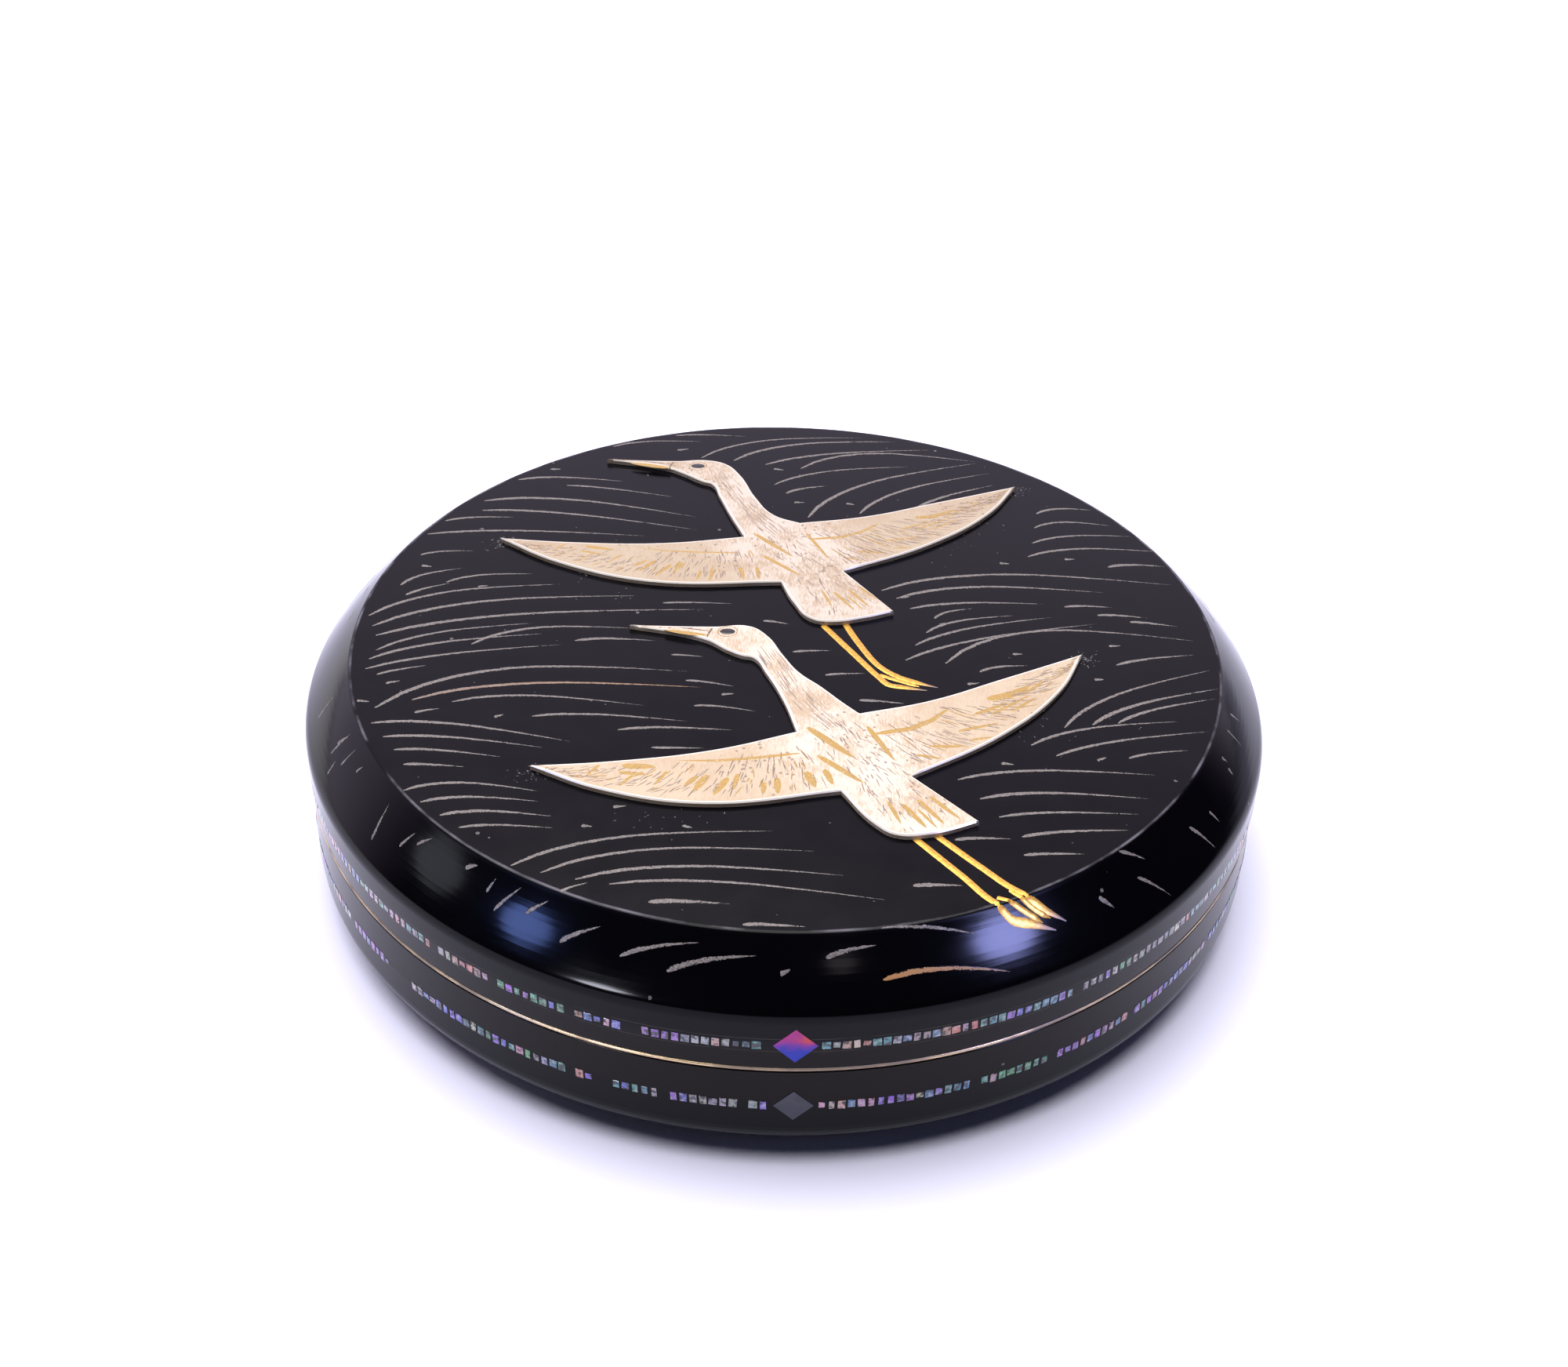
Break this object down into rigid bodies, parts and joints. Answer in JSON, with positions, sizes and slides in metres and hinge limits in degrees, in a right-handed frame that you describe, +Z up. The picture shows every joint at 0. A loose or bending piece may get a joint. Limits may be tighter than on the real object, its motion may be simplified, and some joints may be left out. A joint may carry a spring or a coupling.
{
  "type": "lacquer incense box",
  "caption": "Round flat lacquered box for incense with a lift-off lid, a bevelled shoulder, two applied metal herons on top and shell diamonds in the wall.",
  "frame": {"origin": "centre of the underside, on the surface that the box stands on", "axes": "+Z up, -Y towards the front, where the shell diamonds are, +X to the viewer's right"},
  "size_m": [0.08, 0.08, 0.02],
  "materials": {
    "black_lacquer": "glossy black lacquer over turned wood, satin on the flat top",
    "rim_metal": "thin drawn metal edging, worn bright",
    "engraved_silver": "matt silver plate, engraved, with gold-washed feathers",
    "shell": "polished shell inlay with a shifting pink, blue and green sheen",
    "sprinkled_silver": "silver powder sprinkled in brush strokes",
    "gold_lacquer": "gold powder lacquer in low lines"
  },
  "bodies": {
    "root": {"base": "black_lacquer", "lid": "black_lacquer", "mouth_rim": "rim_metal", "rear_heron": "engraved_silver", "front_heron": "engraved_silver", "lid_diamond": "shell", "base_diamond": "shell"}
  },
  "joints": []
}
